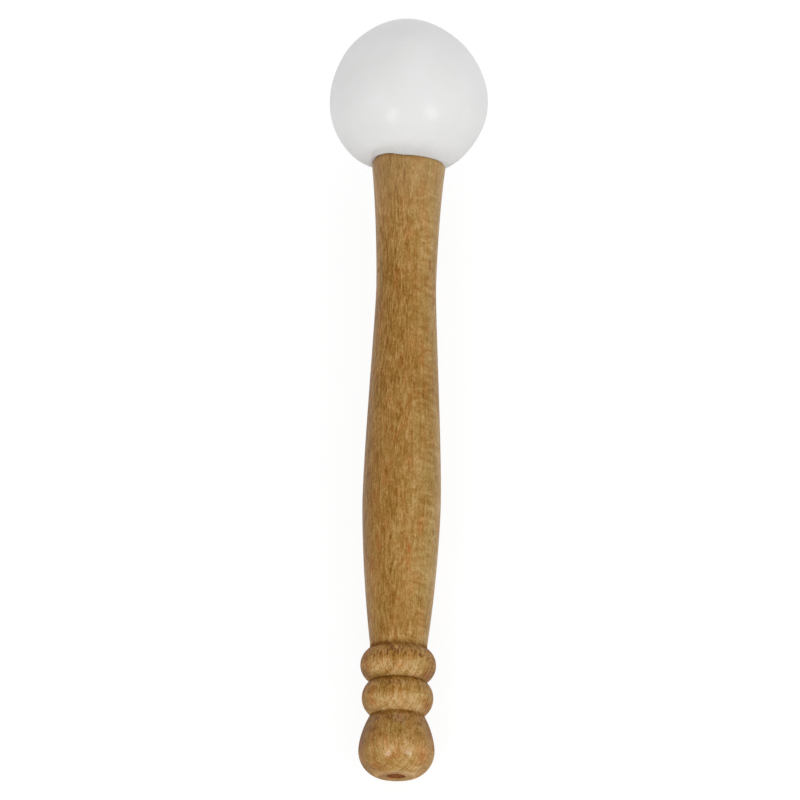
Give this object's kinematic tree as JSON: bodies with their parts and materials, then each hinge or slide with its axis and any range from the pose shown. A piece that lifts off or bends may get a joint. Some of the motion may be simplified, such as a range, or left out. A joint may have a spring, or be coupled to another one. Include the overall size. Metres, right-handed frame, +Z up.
{
  "type": "singing bowl mallet",
  "caption": "Mallet for striking and rubbing singing bowls: a white rubber ball head on a slender turned wooden handle with beads and a round pommel.",
  "frame": {"origin": "middle of the footprint, on the table that the mallet lies on", "axes": "+Y along the mallet towards the ball, +Z up, +X to the right when the ball points away"},
  "size_m": [0.0498, 0.2472, 0.0499],
  "materials": {
    "silicone_rubber": "smooth white silicone rubber with a soft sheen",
    "lacquered_beech": "turned beech under satin lacquer",
    "plain_beech": "bare beech with glue flutes"
  },
  "bodies": {
    "root": {"ball_head": "silicone_rubber", "dowel_pin": "plain_beech", "handle": "lacquered_beech"}
  },
  "joints": []
}
